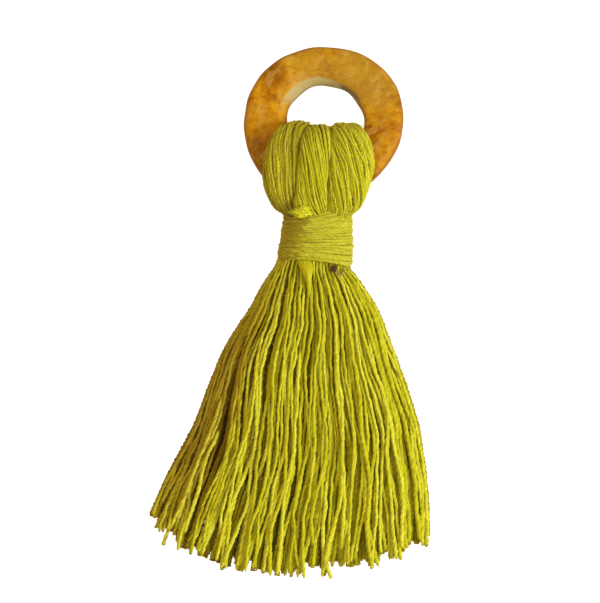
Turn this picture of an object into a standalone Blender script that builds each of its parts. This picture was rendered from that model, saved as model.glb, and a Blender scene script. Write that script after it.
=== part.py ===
"""A yarn tassel on a ring, lying on its back.

A hank of thin yarn is folded over the lower bar of a flat ring, and a yarn binding round the neck
holds it there. Below the binding the cut yarn fans out to a skirt with an uneven hem.

The origin is under the middle of the neck, on the surface that the tassel lies on. +Y runs up to the
ring, +X to the right and +Z up from the surface.
"""

from collections import namedtuple
from math import atan2, copysign, cos, exp, pi, radians, sin

import bmesh
import bpy
from mathutils import Vector

MM = 0.001
GAP = 0.4 * MM

# The ring: a flat band with rounded edges, cut a little unevenly by hand.
RING_CENTRE_X = 1.0 * MM
RING_CENTRE_Y = 22.8 * MM
RING_RADIUS = 15.9 * MM
RING_OVAL = 0.33 * MM
RING_OVAL_TOWARDS = radians(35)
RING_THREE_SIDED = 0.29 * MM
RING_THREE_SIDED_TOWARDS = radians(21)
HOLE_OFFSET_X = 0.4 * MM
HOLE_RADIUS = 7.7 * MM
RING_THICKNESS = 4.4 * MM
RING_TILT = radians(12)
RING_SECTION_POWER = 3.2
TORUS_RADIUS = 2.0
RING_SEGMENTS = 60
RING_SECTION_SEGMENTS = 18

# The hank: locks across its width, each four faces wide, and how far their ends stand out at the hem.
LOCKS = 14
FACES_PER_LOCK = 4
FACES_ACROSS = LOCKS * FACES_PER_LOCK
SIDE_HEIGHT = 0.42
CROWN_POWER = 0.42
UNDERSIDE_REACH = 1.5
COMB_ROOT = 0.5 * MM
COMB_LENGTH = 2.4 * MM
COMB_UNEVENNESS = 0.45
COMB_WAVES_PER_LOCK = (2.4, 1.1)
NECK_FOOT = Vector((-0.6 * MM, -5.4 * MM, 0.0))
HEAD_FURROW_WIDTH = 0.9 * MM

# The binding: pairs of turns show as ridges, the upper ones rising to the right, the lower falling.
BINDING_TOP = 5.2 * MM
BINDING_BOTTOM = -5.3 * MM
BINDING_WALL = 1.2 * MM
BINDING_LIP = 0.55 * MM
BINDING_PRESS = 1.08
BINDING_RIDGES = 7
BINDING_RIDGE_HEIGHT = 0.16 * MM
BINDING_FACES_ROUND = 44
BINDING_SECTION_POWER = 2.5
BINDING_RISE_AT_TOP = 0.035
BINDING_FALL_AT_BOTTOM = 0.05

# One row for each section of the hank, from the head down to the hem, in millimetres. left_y and
# right_y are where the section meets each side, sag is how much lower its middle is, floor and crown
# are its lowest and highest points, lock is the depth of the furrows between locks, and furrow that
# of the two deep furrows of the head, furrow_a and furrow_b being their places across.
Section = namedtuple(
    "Section", "left left_y right right_y sag floor crown lock furrow furrow_a furrow_b"
)
HANK = (
    Section(-5.3, 22.9, 7.6, 22.9, 0.6, 6.4, 9.0, 0.0, 0.2, -3.2, 2.4),
    Section(-6.9, 22.2, 8.9, 22.2, 0.6, 4.6, 10.4, 0.0, 0.5, -3.3, 2.4),
    Section(-8.4, 20.6, 10.0, 20.6, 0.5, 2.6, 12.2, 0.1, 0.9, -3.4, 2.3),
    Section(-9.8, 18.2, 10.8, 18.2, 0.3, 0.9, 13.7, 0.1, 1.2, -3.6, 2.2),
    Section(-10.9, 15.4, 11.2, 15.4, 0.0, 0.0, 14.5, 0.2, 1.3, -3.9, 2.0),
    Section(-11.1, 12.4, 11.1, 12.4, 0.0, 0.0, 14.4, 0.2, 1.2, -4.3, 1.9),
    Section(-10.6, 9.6, 10.3, 9.6, 0.0, 0.3, 13.5, 0.2, 1.0, -4.6, 1.8),
    Section(-9.3, 7.4, 9.1, 7.4, 0.0, 0.9, 12.3, 0.2, 0.7, -4.7, 1.8),
    Section(-7.0, 6.1, 7.2, 6.1, 0.0, 1.8, 10.6, 0.1, 0.4, -4.4, 1.8),
    Section(-5.1, 5.8, 5.2, 5.8, 0.0, 2.4, 9.3, 0.0, 0.1, -3.6, 1.7),
    Section(-5.7, 0.0, 5.2, 0.0, 0.0, 2.2, 9.4, 0.0, 0.0, -3.0, 1.5),
    Section(-6.0, -5.4, 5.0, -5.7, 0.0, 2.3, 9.4, 0.0, 0.0, -3.0, 1.5),
    Section(-8.6, -5.8, 6.9, -6.4, 0.0, 0.9, 11.5, 0.3, 0.0, -3.0, 1.5),
    Section(-10.8, -8.8, 8.4, -9.2, 0.3, 0.2, 12.0, 0.4, 0.0, -3.0, 1.5),
    Section(-13.2, -13.6, 12.0, -14.4, 0.8, 0.0, 12.1, 0.5, 0.0, -3.0, 1.5),
    Section(-18.6, -21.6, 15.0, -22.4, 2.0, 0.0, 11.6, 0.5, 0.0, -3.0, 1.5),
    Section(-21.9, -29.2, 17.8, -30.0, 3.1, 0.0, 11.0, 0.6, 0.0, -3.0, 1.5),
    Section(-24.3, -36.4, 20.1, -37.4, 4.2, 0.0, 10.3, 0.6, 0.0, -3.0, 1.5),
    Section(-28.2, -43.6, 21.3, -44.8, 5.4, 0.0, 9.5, 0.7, 0.0, -3.0, 1.5),
    Section(-31.6, -50.0, 21.9, -51.6, 6.6, 0.0, 8.7, 0.8, 0.0, -3.0, 1.5),
    Section(-32.4, -54.6, 22.1, -56.4, 7.3, 0.0, 7.8, 0.9, 0.0, -3.0, 1.5),
)
HEM_CROWN = 5.6

# One row for each station of the binding along the neck, in millimetres.
Neck = namedtuple("Neck", "y left right crown")
NECK = (
    Neck(5.2, -6.9, 7.0, 11.0),
    Neck(2.6, -7.3, 7.0, 11.2),
    Neck(0.0, -7.7, 7.1, 11.4),
    Neck(-2.7, -8.1, 7.1, 11.5),
    Neck(-5.3, -8.2, 6.9, 11.4),
)


def clear_scene():
    for old in list(bpy.data.objects):
        bpy.data.objects.remove(old, do_unlink=True)


def new_collection(name):
    made = bpy.data.collections.new(name)
    bpy.context.scene.collection.children.link(made)
    return made


def plain_material(name, colour, roughness):
    """A Principled material of one colour, which is none of it metal."""
    material = bpy.data.materials.new(name)
    material.use_nodes = True
    shader = material.node_tree.nodes["Principled BSDF"]
    shader.inputs["Base Color"].default_value = (*colour, 1.0)
    shader.inputs["Roughness"].default_value = roughness
    shader.inputs["Metallic"].default_value = 0.0
    material.diffuse_color = (*colour, 1.0)
    return material


def object_from(name, mesh, material, collection, parent=None):
    made = bpy.data.objects.new(name, mesh)
    mesh.materials.append(material)
    collection.objects.link(made)
    made.parent = parent
    return made


def smooth(mesh, angle):
    mesh.shade_smooth()
    mesh.set_sharp_from_angle(angle=angle)


# ---- the ring ----


def ring_outline(turn):
    """Radius of the ring's uneven outer edge at this turn from +X."""
    oval = RING_OVAL * cos(2 * (turn - RING_OVAL_TOWARDS))
    three_sided = RING_THREE_SIDED * cos(3 * (turn - RING_THREE_SIDED_TOWARDS))
    return RING_RADIUS + oval + three_sided


def squared_up(value, section_power):
    """A cosine or sine pushed out towards 1 or -1, which squares up a round section."""
    return copysign(abs(value) ** (2 / section_power), value)


def ring_mesh(name, grow):
    """A torus pressed to the ring's flat section, with its surface moved out by grow."""
    bpy.ops.mesh.primitive_torus_add(
        major_segments=RING_SEGMENTS,
        minor_segments=RING_SECTION_SEGMENTS,
        major_radius=TORUS_RADIUS,
        minor_radius=1.0,
    )
    torus = bpy.context.object
    mesh = torus.data
    mesh.name = name
    bpy.data.objects.remove(torus, do_unlink=True)
    for vertex in mesh.vertices:
        turn = atan2(vertex.co.y, vertex.co.x)
        across = vertex.co.xy.length - TORUS_RADIUS
        outer = ring_outline(turn) + grow
        hole_edge = HOLE_RADIUS + HOLE_OFFSET_X * cos(turn) - grow
        middle, half = (outer + hole_edge) / 2, (outer - hole_edge) / 2
        radius = middle + half * squared_up(across, RING_SECTION_POWER)
        vertex.co.x = radius * cos(turn)
        # The outline is the one seen from straight above, so the tilted ring is longer than it.
        vertex.co.y = radius * sin(turn) / cos(RING_TILT)
        lift = squared_up(vertex.co.z, RING_SECTION_POWER)
        vertex.co.z = (RING_THICKNESS / 2 + grow) * lift
    smooth(mesh, radians(40))
    return mesh


def place_ring(ring, height):
    ring.location = (RING_CENTRE_X, RING_CENTRE_Y, height)
    ring.rotation_euler = (-RING_TILT, 0.0, 0.0)


def resting_height(mesh):
    """The height of the ring's centre at which the far edge of the tilted ring meets the surface."""
    return -min(v.co.z * cos(RING_TILT) - v.co.y * sin(RING_TILT) for v in mesh.vertices)


# ---- the hank ----


def across_lock(i):
    """0 in the furrow beside a lock and 1 on its middle, for step i across the hank."""
    half = FACES_PER_LOCK / 2
    return 1 - abs(i % FACES_PER_LOCK - half) / half


def section_ring(row):
    """The closed ring of points of one section: over the top from left to right, then back below."""
    middle = Vector((row.left + row.right, row.left_y + row.right_y, 0)) * MM / 2
    half = Vector((row.right - row.left, row.right_y - row.left_y, 0)) * MM / 2
    floor, crown = row.floor * MM, row.crown * MM
    side = floor + (crown - floor) * SIDE_HEIGHT
    over, under = [], []
    for i in range(FACES_ACROSS + 1):
        share = -cos(pi * i / FACES_ACROSS)
        inward = max(0.0, 1 - share * share)
        point = middle + half * share
        point.y -= row.sag * MM * inward
        top = side + (crown - side) * inward**CROWN_POWER
        top -= row.lock * MM * (1 - across_lock(i)) * inward**0.5
        for furrow_x in (row.furrow_a * MM, row.furrow_b * MM):
            nearness = exp(-(((point.x - furrow_x) / HEAD_FURROW_WIDTH) ** 2))
            top -= row.furrow * MM * nearness
        bottom = max(floor, side - UNDERSIDE_REACH * (side - floor) * inward**0.5)
        over.append(Vector((point.x, point.y, top)))
        under.append(Vector((point.x, point.y, bottom)))
    return over + under[-2:0:-1]


def comb_ring(root):
    """The ring of cut ends: each lock stands out from the hem, away from the foot of the neck."""
    tips = []
    for k, point in enumerate(root):
        i = k if k <= FACES_ACROSS else 2 * FACES_ACROSS - k
        lock = i // FACES_PER_LOCK
        fast, slow = COMB_WAVES_PER_LOCK
        length = COMB_LENGTH * (1 + COMB_UNEVENNESS * sin(fast * lock) * cos(slow * lock))
        away = Vector((point.x, point.y, 0)) - NECK_FOOT
        reach = COMB_ROOT + length * across_lock(i)
        tip = point + away.normalized() * reach
        tip.z = point.z * HEM_CROWN / HANK[-1].crown
        tips.append(tip)
    return tips


def loft(name, rings):
    """Quads between rings of points in order, with each end closed by a strip across the section."""
    shape = bmesh.new()
    rows = [[shape.verts.new(p) for p in ring] for ring in rings]
    count = len(rows[0])
    for upper, lower in zip(rows, rows[1:]):
        for i in range(count):
            j = (i + 1) % count
            shape.faces.new((upper[i], upper[j], lower[j], lower[i]))
    for row in (rows[0], rows[-1]):
        for i in range(count // 2):
            corners = (row[i], row[i + 1], row[-i - 1], row[-i])
            shape.faces.new(list(dict.fromkeys(corners)))
    bmesh.ops.recalc_face_normals(shape, faces=shape.faces)
    mesh = bpy.data.meshes.new(name)
    shape.to_mesh(mesh)
    shape.free()
    return mesh


def hank_mesh():
    rings = [section_ring(row) for row in HANK]
    rings.append(comb_ring(rings[-1]))
    mesh = loft("yarn_hank", rings)
    smooth(mesh, radians(50))
    return mesh


# ---- the neck binding ----


def neck_at(y):
    """Left, right and crown of the binding at this place along the neck, in metres."""
    for upper, lower in zip(NECK, NECK[1:]):
        if y >= lower.y * MM or lower is NECK[-1]:
            share = (upper.y * MM - y) / ((upper.y - lower.y) * MM)
            return [(a + (b - a) * share) * MM for a, b in zip(upper[1:], lower[1:])]


def binding_profile():
    """(place along the neck, depth below the turns' crests) down the outside and back up the hole."""
    length = BINDING_TOP - BINDING_BOTTOM
    outside = [(BINDING_TOP, BINDING_LIP)]
    steps = BINDING_RIDGES * 2
    for k in range(1, steps):
        depth = BINDING_RIDGE_HEIGHT if k % 2 == 0 else 0.0
        outside.append((BINDING_TOP - length * k / steps, depth))
    outside.append((BINDING_BOTTOM, BINDING_LIP))
    inside = [(BINDING_BOTTOM, BINDING_WALL), (0.0, BINDING_WALL), (BINDING_TOP, BINDING_WALL)]
    return outside + inside


def binding_ring(y, depth):
    """One closed section of the binding, flat below where it lies on the surface."""
    left, right, crown = neck_at(y)
    half_width, half_height = (right - left) / 2, crown / 2
    along = (y - BINDING_BOTTOM) / (BINDING_TOP - BINDING_BOTTOM)
    slant = BINDING_RISE_AT_TOP * along - BINDING_FALL_AT_BOTTOM * (1 - along)
    points = []
    for k in range(BINDING_FACES_ROUND):
        turn = 2 * pi * k / BINDING_FACES_ROUND
        out = (half_width - depth) * squared_up(cos(turn), BINDING_SECTION_POWER)
        height = (half_height - depth) * squared_up(sin(turn), BINDING_SECTION_POWER)
        # The turns press on the surface, so below they reach past it and are cut off flat at it.
        if height < 0 and depth < BINDING_WALL:
            height *= BINDING_PRESS
        x = (left + right) / 2 + out
        place = y + slant * x * max(0.0, sin(turn))
        points.append(Vector((x, place, max(0.0, half_height + height))))
    return points


def binding_mesh():
    shape = bmesh.new()
    rows = [[shape.verts.new(p) for p in binding_ring(*at)] for at in binding_profile()]
    for row, following in zip(rows, rows[1:] + rows[:1]):
        for k in range(BINDING_FACES_ROUND):
            j = (k + 1) % BINDING_FACES_ROUND
            shape.faces.new((row[k], row[j], following[j], following[k]))
    bmesh.ops.recalc_face_normals(shape, faces=shape.faces)
    mesh = bpy.data.meshes.new("neck_binding")
    shape.to_mesh(mesh)
    shape.free()
    smooth(mesh, radians(50))
    return mesh


# ---- the tassel ----


def build():
    clear_scene()
    parts = new_collection("tassel")
    cutters = new_collection("cutters")
    tassel = bpy.data.objects.new("tassel", None)
    parts.objects.link(tassel)

    amber = plain_material("stained_wood", (0.56, 0.25, 0.015), 0.35)
    lime = plain_material("cotton_yarn", (0.42, 0.39, 0.02), 0.9)
    pale_lime = plain_material("binding_yarn", (0.50, 0.47, 0.03), 0.9)

    ring = object_from("ring", ring_mesh("ring", 0.0), amber, parts, tassel)
    ring_height = resting_height(ring.data)
    place_ring(ring, ring_height)

    eye = object_from("ring_eye", ring_mesh("ring_eye", GAP), amber, cutters)
    place_ring(eye, ring_height)
    eye.hide_render = True
    eye.display_type = "WIRE"

    hank = object_from("yarn_hank", hank_mesh(), lime, parts, tassel)
    cut = hank.modifiers.new("eye for the ring", "BOOLEAN")
    cut.operation = "DIFFERENCE"
    cut.solver = "EXACT"
    cut.object = eye

    object_from("neck_binding", binding_mesh(), pale_lime, parts, tassel)


build()
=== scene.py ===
from collections import namedtuple
from functools import partial
from math import atan2, cos, exp, pi, radians, sin, sqrt, tanh, tau
from random import Random

import bmesh
import bpy
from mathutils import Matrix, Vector, noise
from mathutils.bvhtree import BVHTree


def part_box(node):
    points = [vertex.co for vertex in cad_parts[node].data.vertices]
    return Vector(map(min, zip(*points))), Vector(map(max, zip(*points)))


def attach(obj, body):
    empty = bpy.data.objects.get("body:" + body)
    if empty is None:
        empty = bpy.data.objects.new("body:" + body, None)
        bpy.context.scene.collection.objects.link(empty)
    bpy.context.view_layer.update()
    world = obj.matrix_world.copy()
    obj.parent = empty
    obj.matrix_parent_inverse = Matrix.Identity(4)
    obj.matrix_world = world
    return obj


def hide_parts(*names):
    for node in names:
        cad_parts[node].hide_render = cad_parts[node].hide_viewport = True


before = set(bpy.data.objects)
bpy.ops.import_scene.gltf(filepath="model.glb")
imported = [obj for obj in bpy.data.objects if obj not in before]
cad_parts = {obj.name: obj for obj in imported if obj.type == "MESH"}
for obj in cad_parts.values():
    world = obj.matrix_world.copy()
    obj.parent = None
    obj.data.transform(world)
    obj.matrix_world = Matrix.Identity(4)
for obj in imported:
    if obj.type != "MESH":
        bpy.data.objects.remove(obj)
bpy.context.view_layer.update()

MM = 0.001


# ---- The ring ------------------------------------------------------------------------------------
# A flat ring about 32 mm across, sawn from pale wood and rounded by hand, so it is a little uneven.
# It is stained amber in patches and finished with a satin varnish. The hank is folded over its bar.

HOLE_CENTRE = Vector((1.4 * MM, 22.8 * MM, 0.0))
HOLE_RADIUS = 7.7 * MM
WELD = 0.01 * MM
HAND_CUT_DEPTH = 0.20 * MM
HAND_CUT_LENGTH = 4.5 * MM
RING_MIDDLE_HEIGHT = 4.5 * MM
RING_SLOPE = 0.21
HOLE_FLATS = 7
HOLE_FLAT_DEPTH = 0.14 * MM
HOLE_FLAT_TURN = radians(-35)
HOLE_FLAT_REACH = 3.0 * MM
WORN_EDGE_WIDTH = 2.6 * MM
WORN_EDGE_DEPTH = 1.2 * MM
WORN_EDGE_TOWARDS = radians(128)
WORN_EDGE_SPREAD = radians(62)
STAIN_PATCH = 4.2 * MM
STAIN_MOTTLE = 1.2 * MM
GRAIN_TOWARDS = radians(24)
GRAIN_LENGTH = 2.8 * MM
GRAIN_WIDTH = 0.9 * MM
RUB_TOWARDS = radians(58)
RUB_LENGTH = 2.6 * MM
RUB_WIDTH = 1.5 * MM
FLECK = 1.0 * MM

# Where the stain went on thin, thick or redder, and where painted shadow and painted highlights
# lie: x, y and reach in millimetres, colour, share.
STAINS_SHADOWS_AND_HIGHLIGHTS = (
    (7.5, 34.0, 10.0, "#A27C22", 0.80),
    (-2.0, 35.5, 6.0, "#A57E22", 0.60),
    (12.5, 29.0, 5.5, "#9E7A29", 0.65),
    (-9.0, 33.2, 4.5, "#804A00", 0.75),
    # Painted highlight: the left edge of the hole, lit from the right, in bright gold.
    (-6.0, 29.3, 2.8, "#C08C14", 0.55),
    (-11.0, 22.5, 8.0, "#B98500", 0.60),
    # Painted shadow: the next two rows are the hank's shadow on the ring's lower left, over darker, redder
    # stain.
    (-9.5, 11.5, 9.0, "#4C2600", 0.95),
    (-11.8, 17.0, 5.5, "#5A1C00", 0.60),
    (13.8, 20.0, 4.5, "#8A5200", 0.70),
    (13.5, 24.0, 4.5, "#976712", 0.60),
    (14.0, 15.5, 6.5, "#A26700", 0.75),
    (16.2, 26.5, 2.0, "#764103", 0.70),
    # Painted highlight: a pinkish, lit patch on the rim at the lower right.
    (12.0, 8.5, 2.5, "#9E673B", 0.55),
)


def linear(hex_colour):
    """The linear colour of an sRGB hex value, with full alpha."""
    shades = [int(hex_colour[i : i + 2], 16) / 255 for i in (1, 3, 5)]
    return [s / 12.92 if s <= 0.04045 else ((s + 0.055) / 1.055) ** 2.4 for s in shades] + [1.0]


def plug(tree, node, inputs):
    """Sets a node's inputs, given by identifier or in their order. A socket, or the first output of a
    node, is linked."""
    sockets = {socket.identifier: socket for socket in node.inputs}
    if not isinstance(inputs, dict):
        inputs = dict(zip(sockets, inputs))
    for name, value in inputs.items():
        if isinstance(value, bpy.types.Node):
            value = next(socket for socket in value.outputs if socket.enabled)
        if isinstance(value, bpy.types.NodeSocket):
            tree.links.new(value, sockets[name])
        else:
            sockets[name].default_value = value


def add(tree, kind, inputs=None, stops=None, **settings):
    """A new node with its settings, its inputs and, on a colour ramp, its places and colours. A kind
    without Node in its name is a shader node's."""
    made = tree.nodes.new(kind if "Node" in kind else "ShaderNode" + kind)
    for name, value in settings.items():
        setattr(made, name, value)
    plug(tree, made, inputs or {})
    if stops:
        ramp = made.color_ramp.elements
        while len(ramp) < len(stops):
            ramp.new(1.0)
        for element, (place, colour) in zip(ramp, stops):
            element.position = place
            element.color = linear(colour)
    return made


def new_material(name):
    """An empty Principled material, with its tree and its shader."""
    material = bpy.data.materials.new(name)
    material.use_nodes = True
    return material, material.node_tree, material.node_tree.nodes["Principled BSDF"]


def stained_wood():
    """Amber stain on pale wood: it has gone on in patches, lies darker along the grain, and is worn
    back to pale wood on the wall of the hole. Painted shade darkens the rounded rim, where stain has
    also gathered, and the right end of that wall. The hank's painted shadow darkens the lower left.
    Painted highlights lighten the left edge of the hole and the rim at the lower right. A thin satin
    varnish gives soft, broad highlights."""
    material, tree, shader = new_material("stained_wood_satin_varnish")
    node = partial(add, tree)
    place = node("TexCoord").outputs["Object"]

    def tinted(base, colour, share):
        return node(
            "Mix", {"Factor_Float": share, "A_Color": base, "B_Color": linear(colour)}, data_type="RGBA"
        )

    def between(value, low, high, at_low=0.0, at_high=1.0):
        return node("MapRange", (value, low, high, at_low, at_high), interpolation_type="SMOOTHSTEP")

    def cloud(size, detail, roughness, vector=place, distortion=0.0):
        return node(
            "TexNoise",
            {
                "Vector": vector,
                "Scale": 1 / size,
                "Detail": detail,
                "Roughness": roughness,
                "Distortion": distortion,
            },
        )

    def along(turn, length, width):
        return node(
            "Mapping",
            {"Vector": place, "Rotation": (0, 0, turn), "Scale": (length, width, width)},
            vector_type="TEXTURE",
        )

    patches = cloud(STAIN_PATCH, 3.0, 0.55)
    mottle = cloud(STAIN_MOTTLE, 2.0, 0.6)
    mixed = node("Math", (mottle, 0.55, patches), operation="MULTIPLY_ADD")
    stops = (0.58, "#874F00"), (0.68, "#A26800"), (0.78, "#B47C00"), (0.88, "#C49009"), (0.98, "#CAA030")
    coloured = node("ValToRGB", {"Fac": mixed}, stops)
    grain = cloud(1.0, 3.0, 0.6, along(GRAIN_TOWARDS, GRAIN_LENGTH, GRAIN_WIDTH), 0.8)
    coloured = tinted(coloured, "#834500", between(grain, 0.52, 0.70, 0.0, 0.55))
    coloured = tinted(coloured, "#CA952D", between(grain, 0.46, 0.32, 0.0, 0.5))

    for x, y, reach, colour, share in STAINS_SHADOWS_AND_HIGHLIGHTS:
        middle = (x * MM, y * MM, 5 * MM)
        away = node("VectorMath", (place, middle), operation="DISTANCE")
        ragged = node(
            "Math", (mottle, -0.6 * reach * MM, away.outputs["Value"]), operation="MULTIPLY_ADD"
        )
        coloured = tinted(coloured, colour, between(ragged, 0.0, 0.6 * reach * MM, share, 0.0))

    # Soft pale rubs across the face, and darker flecks.
    rubs = cloud(1.0, 1.5, 0.5, along(RUB_TOWARDS, RUB_LENGTH, RUB_WIDTH))
    coloured = tinted(coloured, "#BE994C", between(rubs, 0.50, 0.70, 0.0, 0.45))
    flecks = cloud(FLECK, 1.5, 0.6)
    coloured = tinted(coloured, "#763D00", between(flecks, 0.58, 0.76, 0.0, 0.35))

    # Darker on the rounded rim, where it turns down from the face: stain gathered there, and painted shade.
    facing = node("SeparateXYZ", {"Vector": node("NewGeometry").outputs["Normal"]})
    coloured = tinted(coloured, "#7F4606", between(facing.outputs["Z"], 0.85, 0.35, 0.0, 0.65))

    # Bare, pale wood on the far wall of the hole.
    across = node("VectorMath", (place, (1, 1, 0)), operation="MULTIPLY")
    from_axis = node("VectorMath", (across, HOLE_CENTRE), operation="DISTANCE").outputs["Value"]
    parts = node("SeparateXYZ", {"Vector": place})
    worn = between(parts.outputs["X"], 5.0 * MM, -2.0 * MM, 0.0, 1.1 * MM)
    near_wall = node("Math", (from_axis, worn), operation="SUBTRACT")
    wall = between(near_wall, HOLE_RADIUS + 0.4 * MM, HOLE_RADIUS + 1.3 * MM, 1.0, 0.0)
    far_side = between(parts.outputs["Y"], 26.0 * MM, 28.5 * MM)
    bare = node("Math", (wall, far_side), operation="MULTIPLY")
    coloured = tinted(coloured, "#AC9C6A", bare)
    # Painted shade: the right end of that wall faces away from the light, so it is darker there.
    painted_wall_shade = between(parts.outputs["X"], 3.6 * MM, 5.4 * MM, 0.0, 0.9)
    corner = node("Math", (bare, painted_wall_shade), operation="MULTIPLY")
    coloured = tinted(coloured, "#6E5A32", corner)

    dull = between(patches, 0.3, 0.7, 0.42, 0.58)
    dents = node("Math", (grain, 0.5, mixed), operation="MULTIPLY_ADD")
    uneven = node("Bump", {"Strength": 0.5, "Distance": 0.12 * MM, "Height": dents})
    plug(
        tree,
        shader,
        {
            "Base Color": coloured,
            "Roughness": dull,
            "Normal": uneven,
            "IOR": 1.5,
            "Specular IOR Level": 0.10,
            "Coat Weight": 0.03,
            "Coat Roughness": 0.3,
        },
    )
    return material


def cut_by_hand(place):
    """Where a point of the even ring lies on the real one: gently dented, with a worn edge."""
    dent = noise.noise(place / HAND_CUT_LENGTH) * HAND_CUT_DEPTH
    from_axis = Vector((place.x - HOLE_CENTRE.x, place.y - HOLE_CENTRE.y))
    outwards = Vector((*from_axis.normalized(), 0.0))
    bearing = atan2(from_axis.y, from_axis.x)
    near_hole = max(0.0, 1 - (from_axis.length - HOLE_RADIUS) / HOLE_FLAT_REACH)
    flat = HOLE_FLAT_DEPTH * near_hole * cos(HOLE_FLATS * bearing + HOLE_FLAT_TURN)
    moved = place + outwards * (dent + flat)
    around = (bearing - WORN_EDGE_TOWARDS + pi) % tau - pi
    inner = max(0.0, 1 - (from_axis.length - HOLE_RADIUS) / WORN_EDGE_WIDTH)
    upper = 1.0 if place.z > RING_MIDDLE_HEIGHT - (place.y - HOLE_CENTRE.y) * RING_SLOPE else 0.0
    moved.z -= WORN_EDGE_DEPTH * inner**1.5 * exp(-((around / WORN_EDGE_SPREAD) ** 2)) * upper
    return moved


def new_piece(name, mesh):
    """An object in the scene for a finished mesh that is already in its place."""
    mesh.name = name
    made = bpy.data.objects.new(name, mesh)
    bpy.context.scene.collection.objects.link(made)
    return made


def finished(source):
    """The plain mesh that an object's modifiers make. The object itself is taken away."""
    graph = bpy.context.evaluated_depsgraph_get()
    made = bpy.data.meshes.new_from_object(source.evaluated_get(graph))
    bpy.data.objects.remove(source)
    return made


def finer_ring():
    """The CAD ring, welded, its faces joined to quads and subdivided, then dented by hand."""
    shape = bmesh.new()
    shape.from_mesh(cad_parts["ring"].data)
    bmesh.ops.remove_doubles(shape, verts=shape.verts, dist=WELD)
    bmesh.ops.join_triangles(
        shape, faces=shape.faces, angle_face_threshold=radians(30), angle_shape_threshold=radians(50)
    )
    mesh = bpy.data.meshes.new("ring_coarse")
    shape.to_mesh(mesh)
    shape.free()
    coarse = new_piece("ring_coarse", mesh)
    finer = coarse.modifiers.new("finer", "SUBSURF")
    finer.levels = finer.render_levels = 2
    made = finished(coarse)
    for vertex in made.vertices:
        vertex.co = cut_by_hand(vertex.co)
    made.shade_smooth()
    return made


ring = new_piece("wooden_ring", finer_ring())
ring.data.materials.clear()
ring.data.materials.append(stained_wood())
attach(ring, "root")
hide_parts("ring")


# ---- The head of the hank ------------------------------------------------------------------------
# Some 150 turns of soft two-ply cotton yarn, folded over the lower bar of the ring. They pull
# together into three locks side by side, each lightly twisted, and the binding holds both ends.

YARN_RADIUS = 0.40 * MM
PLY_PITCH = 2.8 * MM
PLY_WAIST = 0.17
HEAD_YARN_RADIUS = 0.31 * MM
HEAD_SECTION_POWER = 3.0
FAN_TOP = Vector((-0.6 * MM, 8.0 * MM, 0.0))
# Painted shade down the tassel's left flank: the bearings where it starts and is full, how ragged its edge
# is, its brown tint, where it sets in and where it fades below the top of the fan, and its share at the
# hem.
FLANK_SHADE_FROM = radians(-17)
FLANK_SHADE_FULL = radians(-23)
FLANK_SHADE_RAGGED = radians(5)
FLANK_SHADE_TINT = (0.62, 0.43, 0.48, 1.0)
FLANK_SHADE_STARTS = (14 * MM, 30 * MM)
FLANK_SHADE_FADES = (50 * MM, 70 * MM)
FLANK_SHADE_AT_HEM = 0.35
FIBRE_STREAK = (0.34, 0.34, 1.2)
TONE_PATCH = (6.0, 6.0, 7.0)
NECK_THINNING = (0.85, 0.85, 0.88, 0.95)

# One row for each station of a lock, in millimetres: y along the tassel, the height of the lock's
# middle in front of the bar and behind it, its place across, and its half width and half thickness.
# The last row is the fold itself, in the hole of the ring.
Station = namedtuple("Station", "y front back x half_width half_height")
Lock = namedtuple("Lock", "name strands twist stations")
LOCKS = (
    Lock("left", 40, radians(80), (
        Station(-1.0, 7.6, 4.0, -3.9, 1.2, 1.5),
        Station(2.0, 6.4, 4.0, -4.3, 1.2, 1.5),
        Station(4.8, 5.5, 3.7, -5.2, 1.5, 1.7),
        Station(7.0, 7.6, 2.9, -6.6, 2.2, 1.9),
        Station(10.0, 11.5, 2.4, -7.4, 3.0, 2.1),
        Station(14.0, 11.6, 2.2, -7.4, 3.3, 2.2),
        Station(17.8, 10.9, 2.3, -6.9, 3.1, 2.1),
        Station(20.1, 9.7, 4.0, -5.6, 2.9, 2.4),
        Station(20.6, 7.0, 7.0, -3.5, 2.8, 2.45),
    )),
    Lock("middle", 38, radians(165), (
        Station(-1.0, 7.8, 3.9, -0.8, 2.3, 1.7),
        Station(2.0, 7.8, 3.9, -1.0, 2.3, 1.7),
        Station(4.8, 8.8, 3.4, -1.4, 2.8, 1.8),
        Station(7.0, 10.8, 2.7, -1.5, 3.1, 1.9),
        Station(10.0, 12.0, 2.3, -1.4, 3.0, 2.1),
        Station(14.0, 12.1, 2.2, -1.0, 3.0, 2.2),
        Station(17.3, 11.4, 2.3, -0.6, 2.9, 2.3),
        Station(18.9, 9.9, 4.2, -0.2, 3.0, 2.9),
        Station(19.5, 7.0, 7.0, 0.2, 3.7, 2.8),
    )),
    Lock("right", 50, radians(140), (
        Station(-1.0, 7.6, 4.0, 2.8, 2.0, 1.5),
        Station(2.0, 7.6, 4.0, 3.2, 2.0, 1.5),
        Station(4.8, 8.4, 3.6, 4.2, 2.5, 1.7),
        Station(7.0, 10.3, 2.8, 5.3, 3.4, 1.9),
        Station(10.0, 11.6, 2.4, 6.0, 3.9, 2.1),
        Station(14.0, 11.7, 2.2, 6.5, 4.4, 2.2),
        Station(17.5, 11.0, 2.2, 6.4, 4.2, 2.2),
        Station(19.2, 9.8, 4.1, 6.0, 3.7, 2.6),
        Station(19.9, 7.0, 7.0, 5.35, 3.3, 2.9),
    )),
)


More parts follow.
